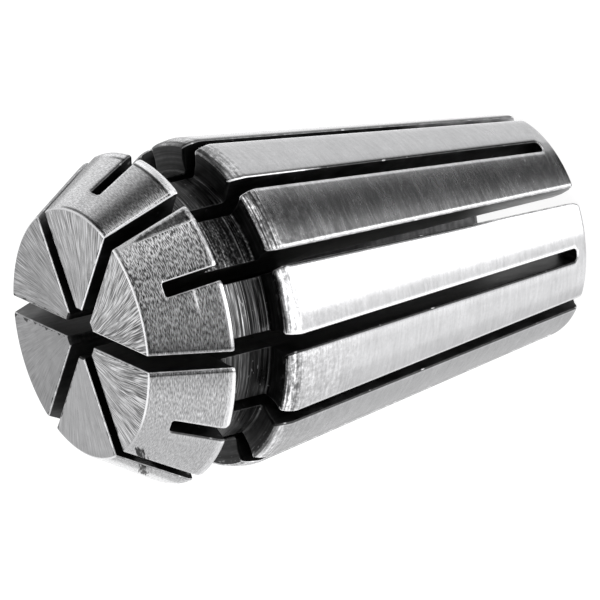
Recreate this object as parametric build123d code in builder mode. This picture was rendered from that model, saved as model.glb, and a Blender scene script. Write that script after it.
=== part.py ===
from build123d import *
import os
from math import cos, radians, sin, tan

# One-piece ER spring collet, 16 class: 17 mm largest body diameter, 27 mm long,
# slit to grip a 2.5 mm shank.
#
# Frame: millimetres, +Z along the collet's axis towards its nose.  The origin is
# the centre of the rear end, on which the collet stands, so the nose is up.
# Lengths called "..._at" are measured back from the front face.

# ---- overall ----------------------------------------------------------------
length = 27.0              # front face to rear end
body_r = 8.5               # largest radius, where the 8 degree taper starts
taper_deg = 8.0            # half angle of the clamping taper
nose_deg = 30.0            # half angle of the nose cone

# ---- head -------------------------------------------------------------------
face_r = 6.42              # flat front face
nose_end_at = 3.63         # end of the 30 degree cone
head_end_at = 3.87         # rear shoulder of the head
head_r = 8.55              # rim of the head

# ---- extraction groove ------------------------------------------------------
groove_r = 6.92            # floor of the groove, 13.8 mm diameter
groove_end_at = 6.95       # front wall of the body

# ---- body -------------------------------------------------------------------
lead_r = 8.38              # the body starts a little small and leads up to ...
lead_end_at = 7.85         # ... the start of the taper
rear_break = 0.35          # radius on the rear outer corner

# ---- bore -------------------------------------------------------------------
bore_r = 1.25              # clamping bore, 2.5 mm shank
clamp_len = 10.0           # length of the clamping bore
bore_break = 0.10          # broken edge at the bore's mouth
relief_r = 4.10            # relief bore behind the clamping length
relief_point_deg = 59.0    # half angle of the drill point between the two
relief_break = 0.40        # chamfer at the relief bore's mouth

# ---- slots ------------------------------------------------------------------
slot_pairs = 6             # six from the front and six from the rear, 30 deg apart
front_slot_face_w = 0.86   # width of a front slot at the front face
front_slot_rear_w = 0.68   # and at its closed end
front_slot_end_at = 26.24  # closed end of the front slots
rear_slot_w = 0.78         # rear slots keep one width
rear_slot_end_at = 1.29    # closed end of the rear slots, on the nose cone
rear_slot_floor = 2.55     # the rear slots stop at this distance from the axis
front_slot_corner_r = 0.20 # corners of a front slot's closed end
rear_slot_corner_r = 0.14  # corners of a rear slot's closed end
over = 2.0                 # how far the cutters run past the material

# ---- derived ----------------------------------------------------------------
nose_r = face_r + nose_end_at * tan(radians(nose_deg))
rear_r = body_r - (length - lead_end_at) * tan(radians(taper_deg))
point_len = (relief_r - bore_r) / tan(radians(relief_point_deg))


def front_half_width(at):
    """Half the width of a front slot, at a distance behind the front face."""
    share = at / front_slot_end_at
    return (front_slot_face_w + (front_slot_rear_w - front_slot_face_w) * share) / 2


with BuildPart() as collet:
    # Turned blank: the half section, bored through, spun about the axis.
    with BuildSketch(Plane.XZ) as section:
        with BuildLine() as outline:
            Polyline(
                (bore_r, length - bore_break),
                (bore_r + bore_break, length),
                (face_r, length),
                (nose_r, length - nose_end_at),
                (head_r, length - head_end_at),
                (groove_r, length - head_end_at),
                (groove_r, length - groove_end_at),
                (lead_r, length - groove_end_at),
                (body_r, length - lead_end_at),
                (rear_r, 0),
                (relief_r + relief_break, 0),
                (relief_r, relief_break),
                (relief_r, length - clamp_len - point_len),
                (bore_r, length - clamp_len),
                close=True,
            )
        make_face()

        def corner(r, z):
            """The corner of the half section nearest to a radius and a height."""
            return section.vertices().sort_by_distance((r, z))[0]

        fillet(corner(nose_r, length - nose_end_at), radius=0.10)
        fillet(corner(head_r, length - head_end_at), radius=0.12)
        fillet(corner(groove_r, length - head_end_at), radius=0.15)
        fillet(corner(groove_r, length - groove_end_at), radius=0.15)
        fillet(corner(lead_r, length - groove_end_at), radius=0.15)
        fillet(corner(rear_r, 0), radius=rear_break)
    revolve(axis=Axis.Z)

    # Front slots: open at the front face, cut right through the wall to the bore,
    # closed just short of the rear end.
    w_open = front_half_width(-over)
    w_shut = front_half_width(front_slot_end_at)
    for i in range(slot_pairs):
        a = radians(360 / slot_pairs * i)
        outward = Vector(cos(a), sin(a), 0)
        across = Vector(-sin(a), cos(a), 0)
        with BuildSketch(Plane(origin=(0, 0, 0), x_dir=across, z_dir=outward)) as slit:
            with BuildLine():
                Polyline(
                    (-w_shut, length - front_slot_end_at),
                    (w_shut, length - front_slot_end_at),
                    (w_open, length + over),
                    (-w_open, length + over),
                    close=True,
                )
            make_face()
            fillet(slit.vertices().group_by(Axis.Y)[0], radius=front_slot_corner_r)
        extrude(amount=head_r + over, mode=Mode.SUBTRACT)

    # Rear slots: open at the rear end, half a pitch round from the front ones,
    # closed in the nose.  Over the clamping length they stop short of the bore,
    # and behind it they break into the relief bore.
    for i in range(slot_pairs):
        a = radians(360 / slot_pairs * (i + 0.5))
        outward = Vector(cos(a), sin(a), 0)
        across = Vector(-sin(a), cos(a), 0)
        foot = outward * rear_slot_floor
        with BuildSketch(Plane(origin=foot, x_dir=across, z_dir=outward)) as slit:
            with BuildLine():
                Polyline(
                    (-rear_slot_w / 2, -over),
                    (rear_slot_w / 2, -over),
                    (rear_slot_w / 2, length - rear_slot_end_at),
                    (-rear_slot_w / 2, length - rear_slot_end_at),
                    close=True,
                )
            make_face()
            fillet(slit.vertices().group_by(Axis.Y)[-1], radius=rear_slot_corner_r)
        extrude(amount=head_r + over - rear_slot_floor, mode=Mode.SUBTRACT)

collet.part.label = "collet"

os.makedirs("parts", exist_ok=True)
export_step(collet.part, "parts/collet.step")

print("volume mm3", round(collet.part.volume, 2))
print("solids", len(collet.part.solids()))
print("nose_r", round(nose_r, 3), "rear_r", round(rear_r, 3))
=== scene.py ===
import math

import bpy
import numpy as np
from mathutils import Matrix, Vector


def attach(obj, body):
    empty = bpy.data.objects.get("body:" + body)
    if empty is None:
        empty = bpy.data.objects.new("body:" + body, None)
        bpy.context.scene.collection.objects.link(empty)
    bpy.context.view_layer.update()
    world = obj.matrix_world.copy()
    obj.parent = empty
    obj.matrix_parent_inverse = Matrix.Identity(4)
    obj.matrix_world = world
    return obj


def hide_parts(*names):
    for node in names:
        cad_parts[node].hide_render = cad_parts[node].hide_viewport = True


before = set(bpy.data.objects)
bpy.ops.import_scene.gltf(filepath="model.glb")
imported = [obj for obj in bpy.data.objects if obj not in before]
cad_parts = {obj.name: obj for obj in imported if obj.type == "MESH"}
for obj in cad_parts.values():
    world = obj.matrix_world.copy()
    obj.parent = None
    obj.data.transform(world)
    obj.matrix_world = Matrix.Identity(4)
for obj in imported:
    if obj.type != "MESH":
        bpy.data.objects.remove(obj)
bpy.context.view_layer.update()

MM = 0.001
LENGTH = 27.0          # mm, front face to rear end; "s" below is mm behind the face
T8 = math.tan(math.radians(8.0))
T30 = math.tan(math.radians(30.0))

# ---------------------------------------------------------------------------
# Camera: at the photograph's viewing angle, with the nose to the left
# ---------------------------------------------------------------------------
VIEW_RIGHT = Vector((0.232375, -0.494670, -0.837439))
VIEW_UP = Vector((0.703051, 0.680399, -0.206824))
VIEW_FWD = Vector((-0.672102, 0.540701, -0.505886))
VIEW_FROM = Vector((0.341051, -0.2756495, 0.2712737))

cam_data = bpy.data.cameras.new("camera")
cam_data.lens = 600.0
cam_data.sensor_width = 36.0
cam_data.clip_start = 0.01
cam_data.clip_end = 50.0
cam = bpy.data.objects.new("camera", cam_data)
bpy.context.scene.collection.objects.link(cam)
m = Matrix.Identity(4)
for row in range(3):
    m[row][0] = VIEW_RIGHT[row]
    m[row][1] = VIEW_UP[row]
    m[row][2] = -VIEW_FWD[row]
    m[row][3] = VIEW_FROM[row]
cam.matrix_world = m
bpy.context.scene.camera = cam


# ---------------------------------------------------------------------------
# The collet's section, in mm: radius against distance s behind the front face
# ---------------------------------------------------------------------------
FACE_R = 6.42
NOSE_END = 3.63
HEAD_END = 3.87
HEAD_R = 8.55
GROOVE_R = 6.92
GROOVE_END = 6.95
LEAD_END = 7.85
BODY_R = 8.5
REAR_R = BODY_R - (LENGTH - LEAD_END) * T8
BORE_R = 1.25
CLAMP_LEN = 10.0
RELIEF_R = 4.10
RELIEF_BREAK = 0.40
SLOT_FLOOR = 2.55
FRONT_END = 26.24      # closed end of the front slots
REAR_END = 1.29        # closed end of the rear slots
FRONT_CORNER = 0.20    # corner radii of the closed ends
REAR_CORNER = 0.14
EDGE = 0.06            # broken edge along the slots
ROLL = 0.22            # width over which grinding has rolled the surface off there


def arc(p0, p1, p2, radius, count=6):
    """Points of the fillet at corner p1, between the lines to p0 and p2."""
    p0, p1, p2 = (np.array(p, float) for p in (p0, p1, p2))
    a, b = p0 - p1, p2 - p1
    a, b = a / np.linalg.norm(a), b / np.linalg.norm(b)
    half = math.acos(max(-1, min(1, float(a @ b)))) / 2
    run = radius / math.tan(half)
    mid = (a + b) / np.linalg.norm(a + b)
    centre = p1 + mid * radius / math.sin(half)
    s0, s1 = p1 + a * run - centre, p1 + b * run - centre
    out = []
    for i in range(count + 1):
        t = i / count
        v = s0 * (1 - t) + s1 * t
        out.append(tuple(centre + v / np.linalg.norm(v) * radius))
    return out


NOSE_R = FACE_R + NOSE_END * T30
HEAD_CORNERS = [       # (s, r, fillet radius) of the outside, from the face back
    (0.0, FACE_R, 0.10),
    (NOSE_END, NOSE_R, 0.14),
    (HEAD_END, HEAD_R, 0.12),
    (HEAD_END, GROOVE_R, 0.15),
]
BODY_CORNERS = [
    (GROOVE_END, GROOVE_R, 0.15),
    (GROOVE_END, 8.31, 0.12),
    (7.25, 8.42, 1.4),
    (LEAD_END, BODY_R, 0.9),
    (LENGTH, REAR_R, 0.35),
]
CORNERS = HEAD_CORNERS + BODY_CORNERS


def outside():
    chain = [(0.0, 0.0)] + [(c[0], c[1]) for c in CORNERS] + [(LENGTH, 0.0)]
    parts = [arc(chain[n], chain[n + 1], chain[n + 2], c[2]) for n, c in enumerate(CORNERS)]
    return parts, np.array([(0.0, 0.0)] + [p for part in parts for p in part] + [(LENGTH, 0.0)])


FILLETS, OUTSIDE = outside()
HEAD_LINE = np.array([p for part in FILLETS[:3] for p in part])
BODY_LINE = np.array([p for part in FILLETS[5:] for p in part])


def radius_out(s):
    """Radius of the head or of the body at s; in the groove, a fill between them."""
    if s <= HEAD_END + 1e-9:
        return float(np.interp(s, HEAD_LINE[:, 0], HEAD_LINE[:, 1]))
    if s >= GROOVE_END - 1e-9:
        return float(np.interp(s, BODY_LINE[:, 0], BODY_LINE[:, 1]))
    return 8.4


def groove_floor(s):
    """Radius of the groove's floor: fillets at both walls, and the broad turning marks."""
    r = GROOVE_R
    for wall in (HEAD_END, GROOVE_END):
        d = abs(s - wall)
        if d < 0.15:
            r = max(r, GROOVE_R + 0.15 - math.sqrt(max(0.0, 0.15 ** 2 - (0.15 - d) ** 2)))
    edge = min(1.0, min(s - HEAD_END, GROOVE_END - s) / 0.12)
    if edge > 0:
        mark = 0.6 * math.sin(2 * math.pi * s / 0.42 + 1.1 * math.sin(s * 3.1))
        mark += 0.4 * math.sin(2 * math.pi * s / 0.77 + 0.7)
        r += 0.009 * edge * mark
    return r


def radius_mid(s):
    """The grid's middle radius: the groove's floor, and inside the solid elsewhere."""
    if s < HEAD_END - 1e-9:
        return 5.2 + (groove_floor(HEAD_END) - 5.2) * s / HEAD_END
    if s > GROOVE_END + 1e-9:
        end = groove_floor(GROOVE_END)
        return end + (5.2 - end) * (s - GROOVE_END) / (LENGTH - GROOVE_END)
    return groove_floor(s)


POINT_LEN = (RELIEF_R - BORE_R) / math.tan(math.radians(59))
FLOOR_STOP = CLAMP_LEN + (SLOT_FLOOR - 0.03 - BORE_R) / math.tan(math.radians(59))


def radius_in(s):
    """Radius of the bore, of the drill point, and of the relief bore with its chamfer."""
    if s <= 0.1:
        return BORE_R + 0.1 - s
    if s <= CLAMP_LEN:
        return BORE_R
    if s <= CLAMP_LEN + POINT_LEN:
        return BORE_R + (s - CLAMP_LEN) * math.tan(math.radians(59))
    return RELIEF_R + max(0.0, s - (LENGTH - RELIEF_BREAK))


def round_end(d, radius):
    """Half width lost in the corner of a slot's closed end, at d from that end."""
    if d <= 0:
        return radius
    if d < radius:
        return radius - math.sqrt(radius ** 2 - (radius - d) ** 2)
    return 0.0


def slot_half(s, kind):
    """Half the width of a front or rear slot at s, with the rounded closed end."""
    if kind == "front":
        return 0.43 + (0.34 - 0.43) * s / FRONT_END - round_end(FRONT_END - s, FRONT_CORNER)
    return 0.39 - round_end(s - REAR_END, REAR_CORNER)


def flare(s, part, kind):
    """How much further a slot is open at the corners of the head, body and rear end."""
    more = 0.0
    if s >= GROOVE_END - 1e-9:
        d = s - GROOVE_END
        if d < 1.1:
            more += 0.13 * (1 - d / 1.1) ** 2
        more += round_end(d, 0.10) if d < 0.10 else 0.0
        if kind == "rear":
            big = 0.75 if part == 10 else 0.25
            d = LENGTH - s
            more += round_end(d, big) * (0.6 if part == 10 else 1.0) if d < big else 0.0
    elif s <= HEAD_END + 1e-9:
        big = {(9, "rear"): 0.50, (11, "front"): 0.26, (9, "front"): 0.2}.get((part, kind), 0.12)
        d = HEAD_END - s
        more += round_end(d, big) if d < big else 0.0
    return more


def depth_below(points):
    """Distance of (s, r) points to the outside outline."""
    a, b = OUTSIDE[:-1], OUTSIDE[1:]
    ab = b - a
    ll = (ab ** 2).sum(1)
    keep = ll > 1e-12
    a, ab, ll = a[keep], ab[keep], ll[keep]
    best = np.full(len(points), 1e9)
    for i in range(len(a)):
        t = np.clip(((points - a[i]) @ ab[i]) / ll[i], 0, 1)
        d = np.linalg.norm(points - (a[i] + t[:, None] * ab[i]), axis=1)
        best = np.minimum(best, d)
    return best


def edge_round(d, size=EDGE):
    """How far a slot's wall has turned away, at a depth d below the surface."""
    d = np.minimum(d, size)
    return size - np.sqrt(np.maximum(0.0, size ** 2 - (size - d) ** 2))


# ---------------------------------------------------------------------------
# The grid: levels along the axis, radii, and columns round the axis
# ---------------------------------------------------------------------------
def levels():
    s = [0.0, 0.008, 0.02, 0.036, EDGE, 0.1, 0.3, 0.6, 0.9, 1.12]
    s += [REAR_END + REAR_CORNER * (1 - math.cos(math.radians(t))) for t in (0, 25, 48, 70, 90)]
    s += [1.7, 2.1, 2.5, 2.9, 3.2, 3.42, 3.53, 3.59]
    s += [NOSE_END, 3.66, 3.70, 3.74]
    s += [HEAD_END - x for x in (0.105, 0.08, 0.055, 0.033, 0.015, 0.004, 0.0)]
    s += [HEAD_END + x for x in (0.005, 0.02, 0.045, 0.08, 0.115, 0.15)]
    n = 30
    lo, hi = HEAD_END + 0.15, GROOVE_END - 0.15
    s += [lo + (hi - lo) * i / n for i in range(1, n)]
    s += [GROOVE_END - x for x in (0.15, 0.115, 0.08, 0.045, 0.02, 0.005)]
    s += [GROOVE_END + x for x in (0.0, 0.004, 0.015, 0.034, 0.058, 0.09, 0.125, 0.18, 0.24)]
    s += [7.27, 7.36, 7.46, 7.58, 7.70, 7.78, 7.85, 7.92, 7.99, 8.1, 8.4, 9.0, 9.5]
    s += [CLAMP_LEN, 10.3, FLOOR_STOP, CLAMP_LEN + POINT_LEN]
    s += list(np.arange(12.6, 25.9, 1.2))
    s += [FRONT_END - FRONT_CORNER * (1 - math.cos(math.radians(t))) for t in (90, 70, 48, 25, 0)]
    s += [26.38, 26.5, LENGTH - RELIEF_BREAK]
    s += [LENGTH - 0.35 * x for x in (0.97, 0.8, 0.62, 0.46, 0.32, 0.2, 0.11, 0.045, 0.01)] + [LENGTH]
    return sorted(set(round(x, 5) for x in s))


S = np.array(levels())
NI = len(S)
D_EDGE = np.array([0.0, 0.035, 0.08, 0.14, ROLL])   # columns beside a slot, mm from its edge
INNER = 5                                         # column lines between the two slots
KH = len(D_EDGE) * 2 + INNER + 1                  # columns in 30 degrees
NK = KH * 12
J_FLOOR, J_MID, J_TOP = 2, 5, 9

radii = np.zeros((NI, J_TOP + 1))
for i, s in enumerate(S):
    r_in, r_mid, r_out = radius_in(s), radius_mid(s), radius_out(s)
    floor = SLOT_FLOOR if s <= FLOOR_STOP + 1e-6 else max(r_in + 0.12, SLOT_FLOOR)
    radii[i] = [
        r_in, r_in + min(0.05, 0.4 * (floor - r_in)), floor,
        r_mid - EDGE, r_mid - 0.3 * EDGE, r_mid,
        r_mid + 0.5 * (r_out - EDGE - r_mid), r_out - EDGE, r_out - 0.3 * EDGE, r_out,
    ]
deep = depth_below(np.stack([np.repeat(S, J_TOP + 1), radii.ravel()], 1)).reshape(radii.shape)
turn = edge_round(deep)


def level_of(s):
    return int(np.argmin(abs(S - s)))


I_EDGE, I_REAR, I_HEAD = level_of(EDGE), level_of(REAR_END), level_of(HEAD_END)
I_GROOVE, I_STOP, I_FRONT = level_of(GROOVE_END), level_of(round(FLOOR_STOP, 5)), level_of(FRONT_END)

FACET_TILT = math.tan(math.radians(7.0))


def facet_width(s):
    """Width of the flat that runs beside the first slot on one nose segment."""
    return 0.09 + 0.239 * s


def ease(x):
    x = np.clip(x, 0.0, 1.0)
    return x * x * (3 - 2 * x)


# Painted shade and painted highlights at the five columns beside each slot, against the rest of the surface; they
# stand in for the reflections along the slot edges.
# Keys: the slot's angle, clockwise seen from the front, and the side of it.
PLAIN = (0.5, 0.8, 1.1, 1.05, 1.0)
BODY_SHADE = {
    (330, -1): (0.25, 0.30, 0.40, 0.50, 0.60), (330, 1): (1.3, 1.4, 1.5, 1.45, 1.2),
    (0, -1): (0.06, 0.20, 0.60, 0.80, 0.90), (0, 1): (1.0, 1.1, 1.15, 1.2, 1.1),
    (30, -1): (0.45, 0.75, 1.05, 1.05, 0.85), (30, 1): (0.12, 0.40, 1.0, 1.4, 1.2),
    (60, -1): (2.2, 2.1, 1.5, 1.2, 1.0), (60, 1): (0.03, 0.10, 0.90, 1.12, 1.15),
    (90, -1): (1.7, 1.7, 1.3, 1.0, 0.95), (90, 1): (0.05, 0.22, 0.85, 0.92, 1.0),
    (120, -1): (0.7, 0.8, 0.9, 0.95, 1.0), (120, 1): (0.7, 0.8, 0.9, 0.95, 1.0),
}
CONE_SHADE = {
    (330, -1): (0.12, 0.22, 0.45, 0.70, 0.90), (330, 1): (1.3, 1.25, 1.15, 1.05, 1.0),
    (0, -1): (1.5, 2.4, 0.50, 2.4, 1.4), (0, 1): (1.2, 1.5, 1.5, 1.4, 1.2),
    (30, -1): (1.2, 1.1, 0.55, 0.75, 0.80), (30, 1): (0.50, 0.35, 0.55, 0.80, 0.95),
    (60, -1): (0.60, 0.90, 0.55, 0.35, 0.65), (60, 1): (0.50, 1.05, 0.90, 0.35, 0.9),
    (90, -1): (1.6, 1.6, 1.3, 1.05, 1.0), (90, 1): (0.12, 0.55, 1.10, 1.10, 1.05),
    (120, -1): (1.0, 1.3, 1.3, 1.1, 1.0), (120, 1): (0.4, 0.8, 1.1, 1.05, 1.0),
}
BODY_ROLL = {(90, -1): 0.10, (120, -1): 0.10, (60, -1): 0.22, (0, -1): 0.12, (30, -1): 0.28}
CONE_ROLL = {(90, -1): 0.10, (120, -1): 0.10, (60, -1): 0.22, (0, 1): 0.0}


co = np.zeros((NI, J_TOP + 1, NK, 3))
shade = np.ones((NI, NK))
calm = np.ones((NI, NK))       # how much of the grinding is left
r = radii
ring = np.arange(J_TOP + 1)[None, :] > J_MID
skin = (np.arange(J_TOP + 1)[None, :] >= J_TOP - 2).astype(float)
front_half = np.array([slot_half(s, "front") for s in S])[:, None]
rear_half = np.array([slot_half(s, "rear") for s in S])[:, None]
near_front = ease((FRONT_END + 0.15 - S) / 0.3)[:, None]
near_rear = ease((S - REAR_END + 0.15) / 0.3)[:, None]
out_at = np.array([radius_out(s) for s in S])
for part in range(12):
    if part % 2 == 0:
        front_key, rear_key = (-30 * part % 360, -1), (-30 * (part + 1) % 360, 1)
    else:
        front_key, rear_key = (-30 * (part + 1) % 360, 1), (-30 * part % 360, -1)
    more_front = np.array([flare(s, part, "front") for s in S])[:, None] * ring
    more_rear = np.array([flare(s, part, "rear") for s in S])[:, None] * ring
    more_rear = more_rear * (S[:, None] > REAR_END)
    more_front = more_front * (S[:, None] < FRONT_END)
    a0 = np.arcsin(np.minimum(front_half + turn + more_front, 0.93 * r) / r)
    a1 = math.radians(30) - np.arcsin(np.minimum(rear_half + turn + more_rear, 0.93 * r) / r)
    tight = (a1 < a0 + math.radians(2)) | (r < SLOT_FLOOR - 1e-6)
    a1 = np.where(tight, 0.5 * (a0 + math.radians(30)), a1)
    scale = np.minimum(1.0, 0.3 * (a1 - a0) * r / ROLL)
    lines = [np.zeros_like(a0)]
    lines += [a0 + d * scale / r for d in D_EDGE]
    rear_lines = [a1 - d * scale / r for d in D_EDGE[::-1]]
    lo, hi = lines[-1], rear_lines[0]
    inner = [lo + (hi - lo) * (n + 1) / (INNER + 1) for n in range(INNER)]
    flat = part == 11
    if flat:
        head = (S[:, None] <= HEAD_END + 1e-9) & ring
        w = facet_width(S)[:, None]
        x1 = np.maximum(w - 0.03, 0.24) * scale
        x2 = np.maximum(w + 0.04, 0.30) * scale
        first, second = a0 + x1 / r, a0 + x2 / r
        inner[0] = np.where(head, first, inner[0])
        inner[1] = np.where(head, second, inner[1])
        for n in range(2, INNER):
            even = second + (hi - second) * (n - 1) / (INNER - 1)
            inner[n] = np.where(head, even, inner[n])
    lines += inner + rear_lines + [np.full_like(a0, math.radians(30))]
    for c, ang in enumerate(lines):
        s_here = np.repeat(S[:, None], J_TOP + 1, 1)
        rr = r.copy()
        if c <= 1:
            s_here[I_FRONT, 1:] += turn[I_FRONT, 1:]
        if c >= KH - 1:
            s_here[I_REAR, J_FLOOR + 1:] -= turn[I_REAR, J_FLOOR + 1:]
        for i in (I_FRONT, I_REAR):
            for j in range(J_TOP + 1):
                if s_here[i, j] != S[i]:
                    rr[i, j] += (radius_out(s_here[i, j]) - out_at[i]) * (j / J_TOP)
        # the surface rolls off beside a slot, and one segment has a flat there
        d_front = np.maximum(0.0, (ang - a0) * r)
        d_rear = np.maximum(0.0, (a1 - ang) * r)
        on_head = S[:, None] <= HEAD_END + 1e-9
        roll_front = np.where(on_head, CONE_ROLL.get(front_key, 0.30), BODY_ROLL.get(front_key, 0.30))
        roll_rear = np.where(on_head, CONE_ROLL.get(rear_key, 0.30), BODY_ROLL.get(rear_key, 0.30))
        drop = roll_front * np.maximum(0.0, ROLL - d_front) ** 2 / (2 * ROLL) * near_front
        fade = 1 - 0.8 * ease((S[:, None] - 19.5) / 1.5) if rear_key == (30, 1) else 1.0
        drop += roll_rear * np.maximum(0.0, ROLL - d_rear) ** 2 / (2 * ROLL) * near_rear * fade
        if flat:
            w = facet_width(S)[:, None]
            drop = drop + np.maximum(0.0, w - d_front) * FACET_TILT * on_head
        rr = rr - drop * skin
        if part % 2 == 0:
            k, world = part * KH + c, part * math.radians(30) + ang
        else:
            k, world = part * KH + KH - c, (part + 1) * math.radians(30) - ang
        if c == KH and part % 2 == 0 or c == 0 and part % 2 == 1:
            continue                 # the next part makes this line
        co[:, :, k % NK, 0] = rr * np.cos(world)
        co[:, :, k % NK, 1] = rr * np.sin(world)
        co[:, :, k % NK, 2] = LENGTH - s_here
        # the columns beside a slot take their painted shade and painted highlights from the tables above
        if c <= 5 or c >= KH - 5:
            key, near = (front_key, near_front) if c <= 5 else (rear_key, near_rear)
            n = max(0, (c if c <= 5 else KH - c) - 1)
            body, cone = BODY_SHADE.get(key, PLAIN)[n], CONE_SHADE.get(key, PLAIN)[n]
            if key == (30, 1):
                body = body + (1.0 - body) * ease((S - 19.5) / 1.5)
            if key == (0, -1):
                body = body + ((1.7, 0.5, 0.5, 0.8, 0.9)[n] - body) * ease((12.5 - S) / 2.0)
            here = np.where(S <= HEAD_END + 1e-9, cone, body)
            shade[:, k % NK] = 1.0 + (here - 1.0) * near[:, 0]
            if c >= KH - 1:
                shade[I_REAR, k % NK] = 0.9
        # painted shade along the far side of the flat, where it mirrors dark
        if flat and c in (5, 6):
            flat_painted_shade = ease((S - 0.85) / 0.25) * ease((3.62 - S) / 0.12)
            shade[:, k % NK] = 1.0 + (0.27 - 1.0) * flat_painted_shade * (S <= HEAD_END + 1e-9)
        # near the face the flat is worn smooth, with less grinding left, and painted lighter
        if flat and c <= 8:
            worn_and_lit = ease((1.25 - S) / 0.5) * (1.0 - 0.3 * max(0, c - 6))
            kept = 0.12 if c <= 5 else 0.35 if c == 6 else 1.0
            calm[:, k % NK] = np.minimum(kept, 1 - 0.9 * worn_and_lit)
            shade[:, k % NK] *= 1 + 0.25 * worn_and_lit

# ---------------------------------------------------------------------------
# Which cells are steel, and their skin
# ---------------------------------------------------------------------------
solid = np.ones((NI - 1, J_TOP, NK), bool)
solid[I_HEAD:I_GROOVE, J_MID:, :] = False                    # extraction groove
for part in range(12):
    front = part * KH if part % 2 == 0 else part * KH + KH - 1
    rear = part * KH + KH - 1 if part % 2 == 0 else part * KH
    solid[:I_FRONT, :, front] = False
    solid[I_REAR:, J_FLOOR:, rear] = False
    solid[I_STOP:, :, rear] = False

FACE, CONE, GROOVE, WALL, BODY, SLIT, BORE, REAR, BRIGHT = range(9)
quads, region = [], []


def vid(i, j, k):
    return (i * (J_TOP + 1) + j) * NK + (k % NK)


def add(ids, kind):
    quads.append(ids)
    region.append(kind)


def slit_kind(i, j):
    """A slot's wall, or its bright broken edge."""
    if i < I_EDGE:
        return BRIGHT
    if I_HEAD <= i < I_GROOVE:
        return SLIT
    return BRIGHT if j >= J_TOP - 2 else SLIT


pad_i = np.zeros((1, J_TOP, NK), bool)
before = np.concatenate([pad_i, solid[:-1]], 0)
after = np.concatenate([solid[1:], pad_i], 0)
pad_j = np.zeros((NI - 1, 1, NK), bool)
below = np.concatenate([pad_j, solid[:, :-1]], 1)
above = np.concatenate([solid[:, 1:], pad_j], 1)
left = np.roll(solid, 1, 2)
right = np.roll(solid, -1, 2)

for i, j, k in np.argwhere(solid & ~before):                 # looks to the nose
    if i == 0:
        kind = FACE
    elif i == I_GROOVE and j >= J_MID:
        kind = WALL
    else:
        kind = slit_kind(i, j)
    add((vid(i, j, k), vid(i, j + 1, k), vid(i, j + 1, k + 1), vid(i, j, k + 1)), kind)
for i, j, k in np.argwhere(solid & ~after):                  # looks to the rear
    if i == NI - 2:
        kind = REAR
    elif i == I_HEAD - 1 and j >= J_MID:
        kind = WALL
    else:
        kind = slit_kind(i, j)
    i2 = i + 1
    add((vid(i2, j, k), vid(i2, j, k + 1), vid(i2, j + 1, k + 1), vid(i2, j + 1, k)), kind)
for i, j, k in np.argwhere(solid & ~above):                  # looks outwards
    j2 = j + 1
    if j2 == J_MID:
        kind = GROOVE
    elif j2 == J_TOP:
        kind = CONE if i < I_HEAD else BODY
        # the worn corner round the face gets the bright edge steel as a painted highlight
        if S[i + 1] < 0.08:
            kind = BRIGHT                                    # worn corner round the face
        # the ridge beside the flat gets the bright edge steel as a painted highlight
        if i < I_HEAD and k == 11 * KH + KH - 7 and 0.85 < S[i] < NOSE_END - 0.05:
            kind = BRIGHT                                    # ridge beside the flat
    else:
        kind = SLIT
    add((vid(i, j2, k), vid(i + 1, j2, k), vid(i + 1, j2, k + 1), vid(i, j2, k + 1)), kind)
for i, j, k in np.argwhere(solid & ~below):                  # looks inwards
    kind = BORE if j == 0 else SLIT
    add((vid(i, j, k), vid(i, j, k + 1), vid(i + 1, j, k + 1), vid(i + 1, j, k)), kind)
for i, j, k in np.argwhere(solid & ~left):                   # slot walls
    add((vid(i, j, k), vid(i + 1, j, k), vid(i + 1, j + 1, k), vid(i, j + 1, k)), slit_kind(i, j))
for i, j, k in np.argwhere(solid & ~right):
    add((vid(i, j, k + 1), vid(i, j + 1, k + 1), vid(i + 1, j + 1, k + 1), vid(i + 1, j, k + 1)), slit_kind(i, j))

quads = np.array(quads)
region = np.array(region)
used, inverse = np.unique(quads.ravel(), return_inverse=True)
verts = co.reshape(-1, 3)[used]
faces = inverse.reshape(quads.shape)
mesh = bpy.data.meshes.new("ground_collet")
mesh.from_pydata((verts * MM).tolist(), [], faces.tolist())
mesh.update()
collet = bpy.data.objects.new("ground_collet", mesh)
bpy.context.scene.collection.objects.link(collet)

# normals: each corner takes the area-weighted direction of its point, so the broad
# faces stay true and only the narrow broken edges turn
p = verts[faces]
d1, d2 = p[:, 2] - p[:, 0], p[:, 3] - p[:, 1]
area_n = np.cross(d1, d2) / 2
vn = np.zeros_like(verts)
for c in range(4):
    np.add.at(vn, faces[:, c], area_n)
vn /= np.maximum(np.linalg.norm(vn, axis=1, keepdims=True), 1e-12)
mesh.polygons.foreach_set("use_smooth", np.ones(len(mesh.polygons), bool))
mesh.normals_split_custom_set_from_vertices(vn.tolist())

print("levels", NI, "triangles", 2 * len(quads), "verts", len(verts))


# how strongly the grinding shows, over the surface (0 .. 1)
def over_angle(phi, stops):
    """Linear between (angle, value) stops, round the whole turn."""
    a = np.array([s[0] for s in stops], float)
    v = np.array([s[1] for s in stops], float)
    return np.interp(np.mod(phi, 360.0), a, v, period=360.0)


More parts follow.
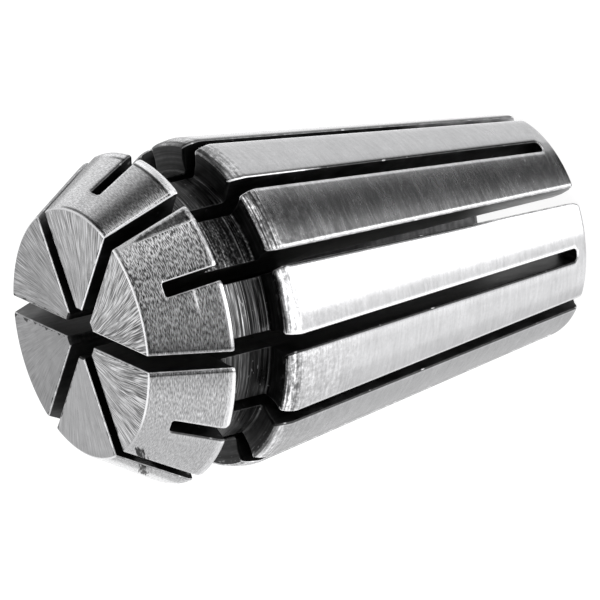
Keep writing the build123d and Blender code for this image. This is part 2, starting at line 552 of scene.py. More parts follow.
ang = np.degrees(-np.arctan2(verts[:, 1], verts[:, 0]))       # clockwise from the first slot
at = LENGTH - verts[:, 2]
rad = np.hypot(verts[:, 0], verts[:, 1])
on_cone = over_angle(ang, [(0, 0.85), (5, 0.85), (30, 0.85), (38, 0.55), (56, 0.30), (64, 0.28), (88, 0.20),
                           (94, 0.12), (180, 0.25), (300, 0.16), (349, 0.2), (353, 0.45), (357, 0.6)])
on_face = over_angle(ang, [(0, 0.75), (30, 0.9), (60, 0.9), (90, 0.8), (110, 0.5), (122, 0.16), (180, 0.12),
                           (236, 0.12), (245, 0.3), (300, 0.42), (330, 0.5)])
on_face *= 0.6 + 0.4 * ease((rad - 1.4) / 2.2)
on_body = over_angle(ang, [(0, 0.09), (12, 0.2), (28, 0.26), (32, 0.06), (52, 0.10), (62, 0.09), (200, 0.12)])
on_body += 0.20 * (1 - ease((at - 8.5) / 4.5)) * over_angle(ang, [(30, 0), (60, 0), (64, 1), (88, 0.8), (92, 0.3), (118, 0.3), (130, 0)])
lead_in = 1 - ease((at - 7.55) / 0.5)
in_lead = over_angle(ang, [(2, 1.1), (28, 1.1), (32, 0.75), (58, 0.7), (62, 0.85), (88, 0.8), (92, 0.35), (200, 0.4), (358, 0.55)])
on_body = on_body + (in_lead - on_body) * lead_in
grid_ik = used // ((J_TOP + 1) * NK) * NK + used % NK
painted_shade_at = shade.ravel()[grid_ik]
on_cone = on_cone * (1 - 0.7 * ease((at - 3.5) / 0.12)) * calm.ravel()[grid_ik]
strength = np.where(at < 0.03, on_face, np.where(at < HEAD_END + 0.01, on_cone, np.where(at < GROOVE_END - 0.01, 1.0, on_body)))
attr = mesh.attributes.new("grain", "FLOAT", "POINT")
attr.data.foreach_set("value", strength.astype(np.float32))

# and how light it is, before the lights: mostly painted shade and painted highlights that stand in for reflections
# beside the slots, over the face, rim, groove, slot walls and body corners, with a few worn places
tone_and_painted_light = painted_shade_at
# painted shade over the front face, one level for each sector
face_painted_shade = over_angle(ang, [(2, 0.97), (30, 0.96), (46, 0.70), (62, 0.72), (85, 0.81), (110, 0.98), (122, 0.90),
                             (178, 0.90), (182, 0.69), (238, 0.70), (242, 0.74), (298, 0.76), (302, 0.95),
                             (330, 0.95), (356, 0.85)])
# painted highlight along the rim at the back of the nose
rim_painted_highlight = over_angle(ang, [(0, 1.5), (12, 1.3), (15, 1.2), (20, 1.6), (28, 1.8), (58, 1.1), (64, 1.6), (88, 1.6), (92, 1.3),
                            (120, 1.3), (240, 1.1), (325, 1.3), (340, 2.2), (356, 2.4)])
# painted dark lines on the nose cone, where its rounded edges mirror dark
painted_dark_line = over_angle(ang, [(2, 0.2), (5, 0.9), (28, 0.9), (32, 0.8), (57, 0.7), (61, 0.0), (316, 0.0), (324, 1.4), (346, 1.4), (355, 1.0), (358, 0.2)])
for name, values in (("rim", np.log(rim_painted_highlight)), ("line", painted_dark_line)):
    attr = mesh.attributes.new(name, "FLOAT", "POINT")
    attr.data.foreach_set("value", values.astype(np.float32))
# painted shade on the groove's floor, by angle
groove_painted_shade = over_angle(ang, [(0, 0.75), (28, 0.75), (32, 0.9), (58, 0.9), (62, 0.5), (118, 0.5), (240, 0.5), (330, 0.4), (356, 0.55)])
# painted highlights and painted shade on the bright edges round the face, by angle
edge_painted_light = over_angle(ang, [(0, 1.15), (58, 1.15), (62, 1.0), (86, 0.95), (98, 0.55), (118, 0.5), (122, 0.8), (300, 0.8), (310, 0.6),
                             (350, 0.7), (355, 1.2)])
# inside the face, painted light on the bright edges, one level for each sector
beside = np.array([1.0, 1.15, 0.45, 0.40, 0.95, 0.45, 0.55, 0.30, 0.40, 1.0, 0.75, 1.15])
edge_painted_light = np.where(rad < 6.3, beside[(np.mod(ang, 360) / 30).astype(int) % 12], edge_painted_light)
cone_tone_and_shade = tone_and_painted_light.copy()
# painted shade on the nose cone beside the first slot
cone_tone_and_shade *= over_angle(ang, [(200, 1), (340, 1), (346, 0.75), (352, 0.75), (355, 1)])
q_tone_and_light = np.where((region == CONE)[:, None], cone_tone_and_shade[faces], tone_and_painted_light[faces])
q_tone_and_light = np.where((region == FACE)[:, None], face_painted_shade[faces], q_tone_and_light)
q_tone_and_light = np.where((region == GROOVE)[:, None], groove_painted_shade[faces], q_tone_and_light)
near_face = (region == BRIGHT) & (at[faces].max(1) < 0.08)
q_tone_and_light = np.where(near_face[:, None], edge_painted_light[faces], q_tone_and_light)
mid = p.mean(1)
ang_q = np.arctan2(mid[:, 1], mid[:, 0])
near_slot = np.degrees(ang_q) / 30.0
of_front = (np.round(near_slot).astype(int) % 2) == 0
slot_phi = np.mod(-30 * np.round(near_slot), 360)
# slot walls, sawn: darkened with painted shade in front, and lighter with painted light where they run out over the
# relief bore and at a few places near the face
rear_wall_light_and_shade = np.where(of_front, 0.03, 0.08)
rear_wall_light_and_shade = np.where(slot_phi == 90, 0.045, rear_wall_light_and_shade)
rear_wall_light_and_shade = np.where(slot_phi == 30, 0.30, np.where(slot_phi == 330, 0.25, rear_wall_light_and_shade))[:, None]
front_wall_light_and_shade = np.full(faces.shape, 0.06)
s_c, r_c, slot_c = at[faces], rad[faces], slot_phi[:, None]
front_wall_light_and_shade = np.where((slot_c == 300) & (s_c < 3.9), 0.06 + 0.28 * ease((r_c - 5.6) / 0.8), front_wall_light_and_shade)
front_wall_light_and_shade = np.where(slot_c == 330, 0.02, front_wall_light_and_shade)
front_wall_light_and_shade = np.where((slot_c == 240) & (s_c < 1.6), 0.05 + 0.15 * ease((r_c - 2.5) / 2.6) * ease((6.3 - r_c) / 0.6), front_wall_light_and_shade)
front_wall_light_and_shade = np.where(slot_c == 120, np.where((s_c > 1.1) & (s_c < 1.75), 0.16, 0.012), front_wall_light_and_shade)
slot_wall_light_and_shade = front_wall_light_and_shade + (rear_wall_light_and_shade - front_wall_light_and_shade) * ease((s_c - 19.8) / 2.2)
q_tone_and_light = np.where((region == SLIT)[:, None], slot_wall_light_and_shade, q_tone_and_light)
# painted shade: darker in the corners at the front of the lead, and in a band on one body segment
corner = 1 - 0.65 * (1 - ease((at - 7.03) / 0.06)) * over_angle(ang, [(0, 0), (28, 0), (32, 1), (118, 1), (122, 0)])
corner *= 1 - 0.70 * (1 - ease((at - 7.18) / 0.10)) * over_angle(ang, [(200, 0), (300, 1), (350, 1), (354, 0), (358, 0)])
corner *= 1 - (1 - ease((at - 7.7) / 0.2)) * over_angle(ang, [(62, 0), (66, 0.22), (84, 0.22), (88, 0), (92, 0.05), (118, 0.05), (122, 0)])
corner *= over_angle(ang, [(0, 1), (8, 1), (12, 0.85), (20, 0.85), (26, 0.95), (30, 1)])
q_tone_and_light = np.where((region == BODY)[:, None], q_tone_and_light * corner[faces], q_tone_and_light)
attr = mesh.attributes.new("tone_and_painted_light", "FLOAT", "CORNER")
attr.data.foreach_set("value", q_tone_and_light.astype(np.float32).ravel())

# where each corner lies on its surface, in mm, for the grinding and turning marks
ang_v = np.arctan2(verts[:, 1], verts[:, 0])
turn_q = ang_v[faces] - ang_q[:, None]
turn_q = ang_q[:, None] + (turn_q + math.pi) % (2 * math.pi) - math.pi
r_q, s_q = rad[faces], at[faces]
flat_end = ((region == FACE) | (region == REAR))[:, None]
step_wall = (region == WALL)[:, None]
slot_wall = ((region == SLIT) | (region == BRIGHT))[:, None]
phi_q = np.mod(-np.degrees(ang_q), 360)[:, None]
bend = np.where(phi_q < 60, 0.22, np.where(phi_q < 120, 0.30, 0.17))
swirl = np.log(np.maximum(rad, 0.5) / 1.3)[faces] * bend * (region == FACE)[:, None]
u = np.where(slot_wall, r_q, np.where(flat_end | (region == BORE)[:, None], (turn_q - swirl) * 4.0, turn_q * 8.0))
v = np.where(flat_end | step_wall, r_q, s_q)
uv = mesh.uv_layers.new(name="surface")
uv.uv.foreach_set("vector", np.stack([u, v], -1).astype(np.float32).ravel())


# distance from the middle of the nearest front slot, and how chipped that slot's edge is
turned = np.radians(np.mod(ang + 30.0, 60.0) - 30.0)
side = rad * np.abs(np.sin(turned))
chipped = over_angle(ang, [(0, 0.3), (120, 0.4), (208, 0.3), (212, 1.0), (239, 1.0), (241, 0.5), (300, 0.3)])
for name, values in (("side", side), ("chipped", chipped)):
    attr = mesh.attributes.new(name, "FLOAT", "POINT")
    attr.data.foreach_set("value", values.astype(np.float32))


# ---------------------------------------------------------------------------
# Materials
# ---------------------------------------------------------------------------
class Steel:
    """A metal made of nodes, over the mesh's own (u, v) in mm."""

    def __init__(self, name, metallic=1.0, aniso=0.0, rotation=0.25):
        self.mat = bpy.data.materials.new(name)
        self.mat.use_nodes = True
        self.nt = self.mat.node_tree
        self.bsdf = self.nt.nodes["Principled BSDF"]
        self.bsdf.inputs["Metallic"].default_value = metallic
        self.bsdf.inputs["Anisotropic"].default_value = aniso
        self.bsdf.inputs["Anisotropic Rotation"].default_value = rotation
        if aniso:
            tan = self.make("ShaderNodeTangent")
            tan.direction_type = "RADIAL"
            tan.axis = "Z"
            self.nt.links.new(tan.outputs[0], self.bsdf.inputs["Tangent"])
        grid = self.make("ShaderNodeUVMap")
        grid.uv_map = "surface"
        self.place = grid.outputs[0]
        split = self.make("ShaderNodeSeparateXYZ")
        self.nt.links.new(self.place, split.inputs[0])
        self.u, self.v = split.outputs[0], split.outputs[1]
        mesh.materials.append(self.mat)

    def make(self, kind):
        return self.nt.nodes.new(kind)

    def put(self, value, socket):
        if isinstance(value, (int, float)):
            socket.default_value = value
        else:
            self.nt.links.new(value, socket)

    def calc(self, op, *args):
        n = self.make("ShaderNodeMath")
        n.operation = op
        for a, socket in zip(args, n.inputs):
            self.put(a, socket)
        return n.outputs[0]

    def held(self, name):
        """A value that the mesh holds."""
        n = self.make("ShaderNodeAttribute")
        n.attribute_name = name
        return n.outputs["Fac"]

    def noise(self, su, sv, detail=2.0, rough=0.55, at=0.0, bend=0.0):
        """Noise about zero, with su and sv cycles a mm."""
        m = self.make("ShaderNodeMapping")
        m.inputs["Scale"].default_value = (su, sv, 1.0)
        m.inputs["Location"].default_value = (at, at * 0.37, at * 0.11)
        self.nt.links.new(self.place, m.inputs["Vector"])
        n = self.make("ShaderNodeTexNoise")
        n.inputs["Scale"].default_value = 1.0
        n.inputs["Detail"].default_value = detail
        n.inputs["Roughness"].default_value = rough
        n.inputs["Distortion"].default_value = bend
        self.nt.links.new(m.outputs[0], n.inputs["Vector"])
        return self.calc("SUBTRACT", n.outputs[0], 0.5)

    def field(self, x, y, detail=2.0, rough=0.55, at=0.0):
        """Noise about zero over any two values."""
        c = self.make("ShaderNodeCombineXYZ")
        self.put(x, c.inputs[0])
        self.put(y, c.inputs[1])
        c.inputs[2].default_value = at
        n = self.make("ShaderNodeTexNoise")
        n.inputs["Scale"].default_value = 1.0
        n.inputs["Detail"].default_value = detail
        n.inputs["Roughness"].default_value = rough
        self.nt.links.new(c.outputs[0], n.inputs["Vector"])
        return self.calc("SUBTRACT", n.outputs[0], 0.5)

    def ridge(self, x, centre, width):
        """1 on a line where x is at the centre, falling off over the width."""
        d = self.times(self.plus(x, -centre), 1.0 / width)
        return self.spread(self.times(d, d, -1.0))

    def step(self, x, lo, hi):
        """0 below lo, 1 above hi, smooth between; falls if lo is above hi."""
        n = self.make("ShaderNodeMapRange")
        n.interpolation_type = "SMOOTHSTEP"
        self.put(x, n.inputs[0])
        for socket, value in zip(list(n.inputs)[1:5], (min(lo, hi), max(lo, hi), float(lo > hi), float(lo < hi))):
            socket.default_value = value
        return n.outputs[0]

    def times(self, *args):
        out = args[0]
        for a in args[1:]:
            out = self.calc("MULTIPLY", out, a)
        return out

    def plus(self, *args):
        out = args[0]
        for a in args[1:]:
            out = self.calc("ADD", out, a)
        return out

    def spread(self, value):
        """e to the power of value: lighter and darker by the same factor."""
        return self.calc("POWER", math.e, value)

    def blend(self, a, b, t):
        return self.plus(self.times(a, self.calc("SUBTRACT", 1.0, t)), self.times(b, t))

    def colour(self, value, warm=1.0, cool=1.015, top=0.97):
        value = self.calc("MINIMUM", value, top)
        n = self.make("ShaderNodeCombineColor")
        self.put(self.times(value, warm), n.inputs[0])
        self.put(value, n.inputs[1])
        self.put(self.times(value, cool), n.inputs[2])
        self.nt.links.new(n.outputs[0], self.bsdf.inputs["Base Color"])

    def rough(self, value):
        n = self.make("ShaderNodeClamp")
        self.put(value, n.inputs[0])
        n.inputs[1].default_value, n.inputs[2].default_value = 0.12, 0.9
        self.nt.links.new(n.outputs[0], self.bsdf.inputs["Roughness"])

    def bump(self, height, microns):
        n = self.make("ShaderNodeBump")
        n.inputs["Strength"].default_value = 1.0
        n.inputs["Distance"].default_value = microns * 1e-6
        self.put(height, n.inputs["Height"])
        self.nt.links.new(n.outputs[0], self.bsdf.inputs["Normal"])


# front face: ground marks that run out from the centre and bend
m = Steel("face_steel")
outer = m.step(m.v, 1.8, 5.2)
fine = m.blend(m.noise(13.0, 0.65, 1.0, 0.5, at=3.1), m.noise(25.0, 0.80, 1.0, 0.5, at=7.7), outer)
long = m.blend(m.noise(2.5, 0.22, 2.0, at=13.1), m.noise(4.0, 0.22, 2.0, at=17.7), outer)
cut = m.calc("ABSOLUTE", m.blend(m.noise(6.0, 0.40, 1.0, 0.4, at=61.0), m.noise(11.0, 0.40, 1.0, 0.4, at=63.0), outer))
cut = m.step(cut, 0.030, 0.004)
cross = m.noise(2.5, 2.5, 3.0, at=21.0)
cloud = m.noise(0.35, 0.55, 3.0, 0.6, at=24.0)
g = m.held("grain")
streak = m.plus(m.times(fine, 7.3), m.times(long, 0.8), m.times(cut, -0.7), 0.10)
ragged = m.times(m.field(m.times(m.v, 1.0), 4.0, 2.0, 0.60, at=2.0), m.held("chipped"), 2.2)
chip = m.step(m.plus(m.held("side"), -0.50, m.times(ragged, -1.0)), 0.03, -0.01)
level = m.plus(m.times(streak, g), m.times(cross, 0.30), m.times(cloud, 0.35), m.times(chip, -1.8))
m.colour(m.times(0.56, m.held("tone_and_painted_light"), m.spread(level)))
m.rough(m.plus(0.29, m.times(fine, g, 0.35), m.times(cross, 0.10)))
m.bump(m.plus(m.times(fine, g), m.times(cut, g, -0.12), m.times(cross, 0.1)), 3.0)

# nose cone: short ground marks round the axis, and scattered dots, with painted highlights and painted shade along the
# slot edges, over the flat and at the rim
m = Steel("cone_steel", aniso=0.8)
fine = m.noise(4.0, 25.0, 0.6, 0.5, at=1.3)
long = m.noise(0.5, 2.0, 2.0, at=9.4)
dots = m.noise(9.0, 10.0, 2.0, 0.6, at=31.0)
g = m.held("grain")
first = m.times(m.step(m.u, -0.2, 0.3), m.step(m.u, 8.6, 8.2))
streak = m.plus(m.times(fine, 8.8), m.times(long, 0.6), -0.16)
along = m.plus(m.v, -2.5, m.times(m.plus(m.u, 4.9), 0.015))
scratch = m.times(m.spread(m.times(-380.0, along, along)), m.step(m.u, -6.3, -5.1), m.step(m.u, -4.50, -4.60))
across = m.plus(m.v, m.times(m.u, 0.444), 6.30)
reach = m.times(m.step(m.u, -19.7, -19.0), m.step(m.u, -14.7, -15.4))
hairs = m.field(m.times(across, 9.0), m.times(m.u, 1.1), 3.0, 0.65, at=91.0)
smudge = m.plus(m.times(0.60, m.spread(m.times(-12.0, across, across)), reach), m.times(hairs, 1.9))
blot = m.times(m.step(smudge, 0.24, 0.62), m.step(across, -0.5, -0.4), m.step(across, 0.5, 0.4), reach)
# the rim band at the back of the nose: worn, and painted lighter as a highlight through the rim attribute
worn_and_lit = m.step(m.v, 3.43, 3.49)
# painted dark lines across the cone, near the rim and near the face
line_at = m.blend(3.50, 3.385, m.step(m.u, -0.1, 0.1))
inner_line = m.ridge(m.plus(m.v, m.times(line_at, -1.0)), 0.0, 0.05)
outer_line = m.ridge(m.v, 0.135, 0.05)
lines = m.times(m.plus(m.times(inner_line, m.step(m.u, -4.0, -3.7)), outer_line), m.held("line"), -1.25)
off = m.plus(m.held("side"), -0.425)                       # distance from a front slot
past = m.plus(off, -0.09, m.times(m.v, -0.239))            # past the flat beside the first one
# the flat beside the first slot: painted shade over it with mottling, and painted highlights along its lip and border
on_flat = m.times(m.step(past, 0.01, -0.03), m.step(m.u, -0.05, -0.1), m.step(m.u, -2.4, -2.2), m.step(m.v, 1.0, 1.3))
flat_mottle_and_shade = m.times(m.plus(m.times(m.noise(4.5, 5.5, 3.0, 0.65, at=95.0), 5.0), -0.30), on_flat, m.step(off, 0.11, 0.15))
painted_lip_highlight = m.times(m.ridge(off, 0.055, 0.045), m.step(m.u, -0.05, -0.1), m.step(m.u, -2.4, -2.2), m.step(m.v, 0.8, 1.8))
painted_border_highlight = m.times(m.ridge(past, 0.0, 0.045), m.step(m.u, -0.05, -0.1), m.step(m.u, -2.4, -2.2), m.step(m.v, 1.0, 2.2))
# on the other side of the first slot: a painted highlight line and a painted dark line along the edge
inner = m.plus(off, -0.05, m.times(m.v, -0.045))
beside_a = m.times(m.step(m.u, 0.05, 0.1), m.step(m.u, 2.4, 2.2), m.step(m.v, 0.1, 0.4))
bright = m.times(m.ridge(inner, 0.0, 0.030), beside_a)
painted_edge_shade = m.times(m.ridge(m.plus(off, -0.02, m.times(m.v, -0.022)), 0.0, 0.022), beside_a, -0.7)
level = m.plus(flat_mottle_and_shade, m.times(painted_border_highlight, 1.2), m.times(painted_lip_highlight, 1.2), m.times(bright, 1.2), painted_edge_shade, m.times(streak, g), m.times(dots, m.plus(0.24, m.times(first, g, 0.12))), m.times(scratch, 2.0),
               m.times(blot, -3.0), m.times(worn_and_lit, m.held("rim")), lines)
m.colour(m.times(0.58, m.held("tone_and_painted_light"), m.spread(level)))
m.put(m.plus(1.0, m.times(worn_and_lit, m.step(m.u, 0.15, 0.5), m.step(m.u, 5.6, 3.0), -0.30), m.times(scratch, -0.36), m.times(bright, -0.30), m.times(painted_border_highlight, -0.28), m.times(painted_lip_highlight, -0.32)), m.bsdf.inputs["Metallic"])
m.rough(m.plus(0.28, m.times(fine, g, 0.35), m.times(dots, 0.08), m.times(blot, 0.2)))
m.bump(m.plus(m.times(fine, g), m.times(dots, 0.2), m.times(scratch, -0.6)), 2.5)

# groove: coarse turned floor, dark in its own finish, with painted shade darkening it towards the body's wall and a
# painted highlight line near that wall
m = Steel("groove_steel", aniso=0.5)
ring = m.noise(0.10, 13.0, 2.0, 0.6, at=5.0)
fleck = m.noise(0.8, 14.0, 1.0, at=15.0)
stain = m.noise(0.7, 1.1, 3.0, at=25.0)
speck = m.step(m.noise(2.6, 8.5, 0.0, at=41.0), 0.29, 0.33)
busy = m.times(m.step(m.u, -4.15, -4.25), m.step(m.u, -8.45, -8.35))
dotted = m.times(m.step(m.u, 0.0, -0.1), m.step(m.u, -4.25, -4.15))
dots = m.noise(6.0, 8.0, 1.0, 0.5, at=47.0)
painted_fillet_highlight = m.times(m.ridge(m.v, 6.33, 0.035), dotted, 0.20)
groove_base_and_shade = m.blend(m.blend(0.100, 0.030, m.step(m.v, 5.35, 5.85)), 0.060, m.step(m.v, 6.2, 6.6))
m.colour(m.plus(m.times(groove_base_and_shade, m.held("tone_and_painted_light"), m.spread(m.plus(m.times(ring, m.plus(5.5, m.times(busy, 4.0))), m.times(fleck, 4.0),
                                                           m.times(dots, dotted, 6.0), m.times(stain, 1.4)))),
                m.times(speck, 0.13), painted_fillet_highlight))
m.rough(m.plus(0.34, m.times(fleck, 0.4), m.times(stain, 0.2)))
m.bump(m.plus(ring, m.times(fleck, 0.35)), 4.0)

# the two walls of the groove: dark, partly their turned finish and partly painted shade in the groove, with a few
# light turning scratches
m = Steel("shoulder_steel")
ring = m.noise(0.15, 8.0, 3.0, at=6.0)
stain = m.noise(1.2, 2.0, 3.0, at=26.0)
speck = m.times(m.step(m.noise(2.6, 6.0, 1.0, at=46.0), 0.12, 0.17), m.step(m.v, 7.7, 8.15), m.step(m.u, 0.1, -0.1))
m.colour(m.plus(m.times(0.045, m.spread(m.plus(m.times(ring, 3.2), m.times(stain, 2.6)))), m.times(speck, 0.22)))
m.rough(m.plus(0.45, m.times(stain, 0.3)))
m.bump(ring, 3.0)

# taper: fine ground finish, rougher on the lead
m = Steel("body_steel", aniso=0.85)
fine = m.noise(0.9, 7.0, 3.0, 0.55, at=2.2)
long = m.noise(0.22, 2.6, 2.0, at=12.2)
broad = m.noise(0.5, 0.6, 3.0, at=22.2)
dots = m.noise(5.0, 5.5, 2.0, at=32.2)
g = m.held("grain")
front = m.step(m.v, 13.5, 8.0)
streak = m.plus(m.times(fine, 3.6), m.times(long, 1.4), m.times(dots, m.plus(1.8, m.times(front, 2.6))), m.times(broad, 1.2))
lead = m.times(m.noise(0.40, 8.0, 1.5, 0.5, at=52.2), m.step(m.v, 7.95, 7.6), 5.6)
bitten = m.times(m.step(m.noise(0.7, 7.0, 2.0, 0.6, at=57.0), -0.02, 0.05), m.step(m.v, 7.20, 7.10), m.step(m.u, -4.0, -4.6), g, -1.3)
seg = m.times(m.step(m.u, 0.0, -0.2), m.step(m.u, -4.2, -4.0))
upper = m.times(seg, m.step(m.u, -3.9, -2.7))
# on one segment's lead: painted shade over a strip, a painted dark line at its front and a painted highlight line at
# its end
lead_painted_light = m.times(m.step(m.v, 7.20, 7.26), m.step(m.v, 7.90, 7.80), upper, -0.75)
lead_painted_light = m.plus(lead_painted_light, m.times(m.ridge(m.v, 7.115, 0.032), seg, -1.2), m.times(m.ridge(m.v, 7.80, 0.035), upper, 0.55))
patch = m.times(m.noise(0.9, 1.3, 3.0, 0.6, at=72.2), seg, m.step(m.v, 14.0, 9.0), 1.7)
m.colour(m.times(0.58, m.held("tone_and_painted_light"), m.spread(m.plus(m.times(m.plus(streak, lead), g), m.times(broad, 0.16), bitten,
                                                      lead_painted_light, patch))))
m.rough(m.plus(0.26, m.times(fine, g, 0.30), m.times(broad, 0.06)))
m.bump(m.plus(m.times(fine, g), m.times(dots, 0.05)), 2.0)

# slot walls: sawn, darkened and lightened by the painted light and shade that the mesh holds
m = Steel("slot_steel")
saw = m.noise(3.0, 0.8, 3.0, at=4.4)
blotch = m.noise(0.9, 0.7, 3.0, at=14.4)
speck = m.step(m.noise(2.4, 2.6, 0.0, at=43.0), 0.30, 0.34)
m.colour(m.plus(m.times(m.held("tone_and_painted_light"), m.spread(m.plus(m.times(saw, 1.6), m.times(blotch, 2.2)))), m.times(speck, 0.06)))
m.rough(m.plus(0.45, m.times(blotch, 0.3)))
m.bump(saw, 5.0)

# bore and relief bore: drilled, mottled, and darkened with painted shade, a little less towards the rear
m = Steel("bore_steel")
ring = m.noise(0.5, 5.0, 3.0, at=8.8)
blotch = m.noise(1.4, 0.8, 3.0, 0.6, at=18.8)
m.colour(m.times(m.blend(0.045, 0.07, m.step(m.v, 19.0, 21.5)), m.spread(m.plus(m.times(ring, 1.8), m.times(blotch, 2.4)))))
m.rough(m.plus(0.48, m.times(blotch, 0.3)))
m.bump(ring, 5.0)

# rear end: plain turned ring
m = Steel("rear_steel")
ring = m.noise(0.4, 7.0, 3.0, at=10.1)
blotch = m.noise(0.7, 0.9, 3.0, at=20.1)
m.colour(m.times(0.50, m.spread(m.plus(m.times(ring, 1.2), m.times(blotch, 0.8)))))
m.rough(m.plus(0.33, m.times(blotch, 0.2)))
m.bump(ring, 3.0)

# edges beside the slots: broken and a little ragged, worn bright and painted lighter as highlights, with scattered
# painted glints
m = Steel("edge_steel", metallic=0.75)
nick = m.noise(2.0, 2.2, 4.0, 0.7, at=11.5)
painted_glint = m.step(m.noise(1.1, 1.5, 1.0, at=81.5), 0.14, 0.22)
m.colour(m.plus(m.times(0.85, m.held("tone_and_painted_light"), m.spread(m.times(nick, 2.6))), m.times(painted_glint, 0.5)))
m.rough(m.plus(0.36, m.times(nick, 0.5)))
m.bump(nick, 5.0)

# materials were appended in this order
ORDER = {FACE: 0, CONE: 1, GROOVE: 2, WALL: 3, BODY: 4, SLIT: 5, BORE: 6, REAR: 7, BRIGHT: 8}
table = np.array([ORDER[n] for n in range(9)], np.int32)
mesh.polygons.foreach_set("material_index", table[region])

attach(collet, "root")
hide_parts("collet")

# ---------------------------------------------------------------------------
# Stage: pale floor, soft lights, and reflection panels
# ---------------------------------------------------------------------------
floor_mesh = bpy.data.meshes.new("floor")
h = 3.0
floor_mesh.from_pydata([(-h, -h, 0), (h, -h, 0), (h, h, 0), (-h, h, 0)], [], [(0, 1, 2, 3)])
floor = bpy.data.objects.new("floor", floor_mesh)
bpy.context.scene.collection.objects.link(floor)
fmat = bpy.data.materials.new("pale_floor")
fmat.use_nodes = True
fb = fmat.node_tree.nodes["Principled BSDF"]
fb.inputs["Base Color"].default_value = (0.12, 0.12, 0.12, 1)
fb.inputs["Roughness"].default_value = 0.9
fb.inputs["Specular IOR Level"].default_value = 0.0
fb.inputs["Emission Color"].default_value = (1, 1, 1, 1)
fb.inputs["Emission Strength"].default_value = 0.93
floor_mesh.materials.append(fmat)
floor.visible_glossy = False

world = bpy.data.worlds.new("studio")
world.use_nodes = True
bg = world.node_tree.nodes["Background"]
bg.inputs["Color"].default_value = (1, 1, 1, 1)
bg.inputs["Strength"].default_value = 0.75
bpy.context.scene.world = world


def mirrored(phi, el):
    """The direction a facet of the collet mirrors into the camera. phi is the angle
    round the axis from the first slot, el the facet's tilt towards the nose."""
    a, e = math.radians(-phi), math.radians(el)
    n = Vector((math.cos(a) * math.cos(e), math.sin(a) * math.cos(e), math.sin(e)))
    return (VIEW_FWD - 2 * VIEW_FWD.dot(n) * n).normalized()


PANEL_R = 2.0
CENTRE = Vector((0, 0, 0.0135))


def panel(name, phi0, phi1, el0, el1, strength):
    """A soft studio panel, or a black flag, where those facets mirror it."""
    nu = max(2, int(abs(phi1 - phi0) / 3) + 1)
    nv = max(2, int(abs(el1 - el0) / 4) + 1)
    pts, fs = [], []
    for a in range(nu + 1):
        for b in range(nv + 1):
            d = mirrored(phi0 + (phi1 - phi0) * a / nu, el0 + (el1 - el0) * b / nv)
            pts.append(CENTRE + d * PANEL_R)
    for a in range(nu):
        for b in range(nv):
            q = a * (nv + 1) + b
            fs.append((q, q + 1, q + nv + 2, q + nv + 1))
    me = bpy.data.meshes.new(name)
    me.from_pydata([tuple(v) for v in pts], [], fs)
    ob = bpy.data.objects.new(name, me)
    bpy.context.scene.collection.objects.link(ob)
    mt = bpy.data.materials.new(name)
    mt.use_nodes = True
    t = mt.node_tree
    t.nodes.clear()
    em = t.nodes.new("ShaderNodeEmission")
    em.inputs["Color"].default_value = (1, 1, 1, 1)
    em.inputs["Strength"].default_value = strength
    out = t.nodes.new("ShaderNodeOutputMaterial")
    t.links.new(em.outputs[0], out.inputs["Surface"])
    mt.cycles.emission_sampling = "NONE"
    me.materials.append(mt)
    ob.visible_camera = False
    ob.visible_diffuse = False
    ob.visible_shadow = False
    ob.visible_transmission = False
    ob.visible_volume_scatter = False
    return ob


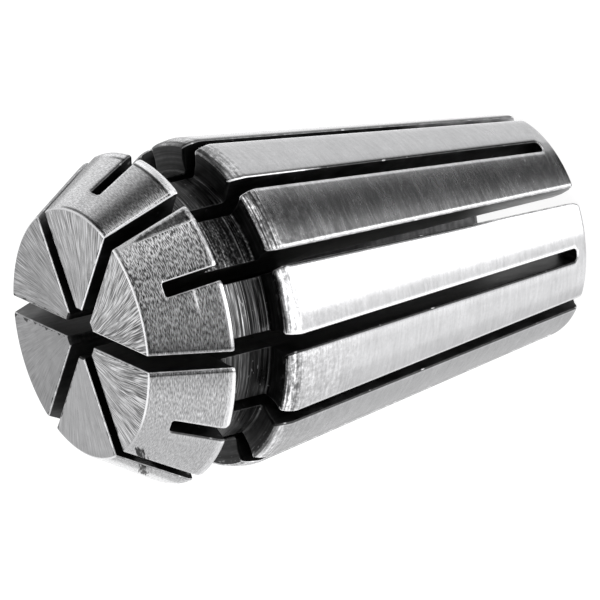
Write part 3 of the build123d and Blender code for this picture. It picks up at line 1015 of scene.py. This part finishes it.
# body: facets tilted 8 degrees to the rear
BODY_EL = (-50, -1)
for n, (a, b, v) in enumerate([
    (-48, -32, 1.5), (-32, -1, 0.98), (-1, 5, 0.52), (5, 7, 0.20), (7, 18, 0.023), (18, 22, 0.066),
    (22, 30, 0.32), (30, 50, 2.2), (50, 60, 1.0), (60, 78, 1.25), (78, 90, 0.95), (90, 112, 0.69), (112, 150, 0.50),
]):
    if v > 2.0:                   # the brightest one is short, so that other views stay calm
        panel("panel_body_low", a, b, BODY_EL[0], -26, 0.55)
        panel("panel_body_%d" % n, a, b, -26, BODY_EL[1], 2.5)
    else:
        panel("panel_body_%d" % n, a, b, *BODY_EL, v)
# lead and rim: facets that look nearly straight out
LEAD_EL = (-1, 14)
for n, (a, b, v) in enumerate([
    (-48, -30, 1.1), (-30, -4, 0.74), (-4, 17, 0.46), (17, 21, 0.8), (21, 30, 1.3),
    (30, 60, 2.1), (60, 90, 1.32), (90, 112, 0.85), (112, 125, 0.95),
]):
    panel("panel_lead_%d" % n, a, b, *LEAD_EL, v)
# front of the lead: steeper
STEEP_EL = (14, 23)
for n, (a, b, v) in enumerate([
    (-48, -9, 0.14), (-9, 2, 0.9), (2, 14, 2.4), (14, 27, 0.9),
    (27, 57, 1.0), (57, 66, 0.6), (66, 88, 1.3), (88, 112, 1.1), (112, 125, 1.3),
]):
    panel("panel_steep_%d" % n, a, b, *STEEP_EL, v)
# nose cone: facets tilted 30 degrees to the nose
CONE_EL = (23, 56)
for n, (a, b, v) in enumerate([
    (-50, -33, 1.25), (-33, -22, 1.05), (-22, -16, 0.65), (-16, -7, 0.06), (-7, -1, 0.50), (-1, 4, 0.22),
    (4, 16, 0.53), (16, 30, 0.34), (30, 46, 0.158), (46, 62, 0.050), (62, 72, 0.62), (72, 118, 0.78), (118, 150, 0.70),
]):
    panel("panel_cone_%d" % n, a, b, *CONE_EL, v)

for name, at, size, power in (
    ("key_light", (0.5, -0.9, 1.4), 1.0, 22.0),
    ("fill_light", (-1.0, 0.6, 1.2), 1.2, 14.0),
    ("top_light", (0.0, 0.0, 1.8), 1.6, 16.0),
):
    ld = bpy.data.lights.new(name, "AREA")
    ld.shape = "SQUARE"
    ld.size = size
    ld.energy = power
    lo = bpy.data.objects.new(name, ld)
    lo.location = at
    lo.rotation_euler = (Vector((0, 0, 0.0135)) - Vector(at)).to_track_quat("-Z", "Y").to_euler()
    lo.visible_glossy = False
    bpy.context.scene.collection.objects.link(lo)

bpy.context.scene.view_settings.view_transform = "Standard"
bpy.context.scene.view_settings.look = "None"
